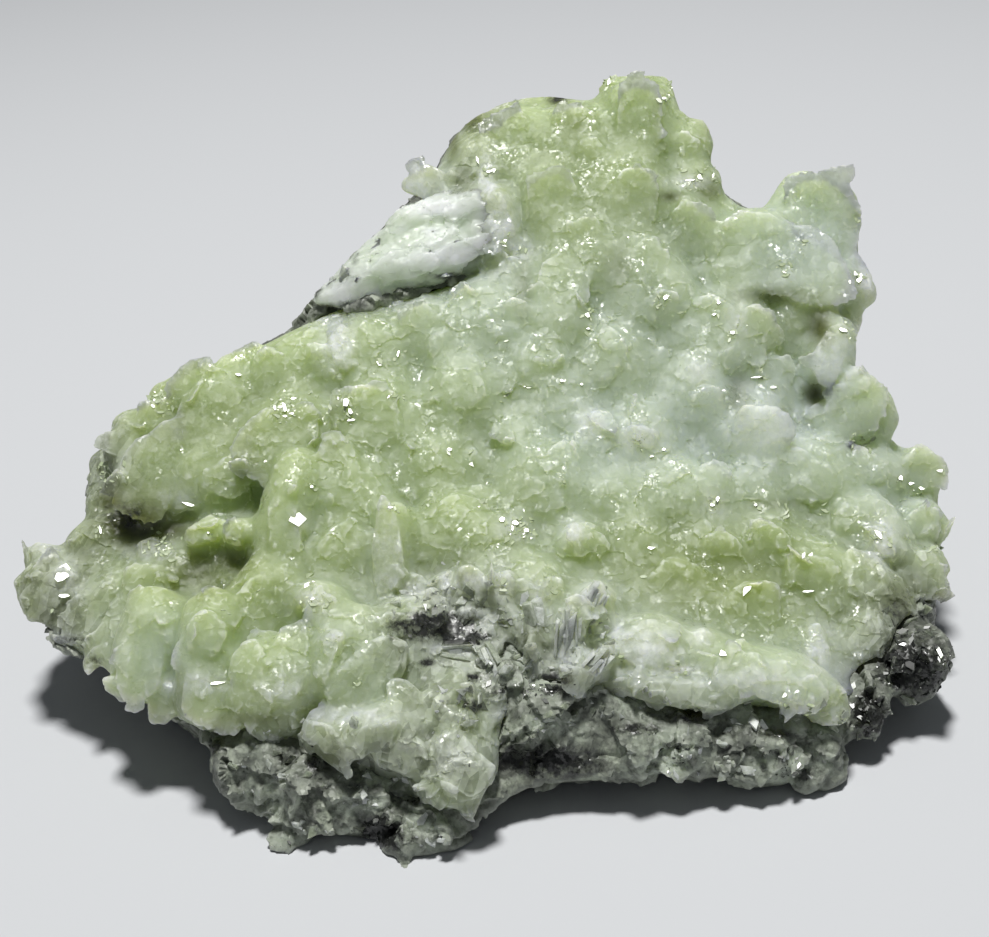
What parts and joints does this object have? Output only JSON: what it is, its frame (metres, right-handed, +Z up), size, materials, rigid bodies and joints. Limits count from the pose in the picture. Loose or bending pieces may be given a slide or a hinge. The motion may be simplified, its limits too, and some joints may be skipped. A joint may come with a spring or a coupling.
{
  "type": "prehnite cluster",
  "caption": "Mineral specimen: a crust of overlapping pale green prehnite crystals on dark grey rock, with a milky white vein, resting flat on its underside",
  "frame": {"origin": "centre of the specimen's box, on the surface that it rests on", "axes": "+Z up; -Y is the sloping front covered with crystals, as the specimen is shown; +X to the right of that front"},
  "size_m": [0.1038, 0.0792, 0.0558],
  "materials": {
    "prehnite": "glassy to waxy, translucent",
    "rock": "rough, granular",
    "vein": "milky, broken"
  },
  "bodies": {
    "root": {"prehnite_crust": "prehnite", "matrix_rock": "rock", "white_vein": "vein"}
  },
  "joints": []
}
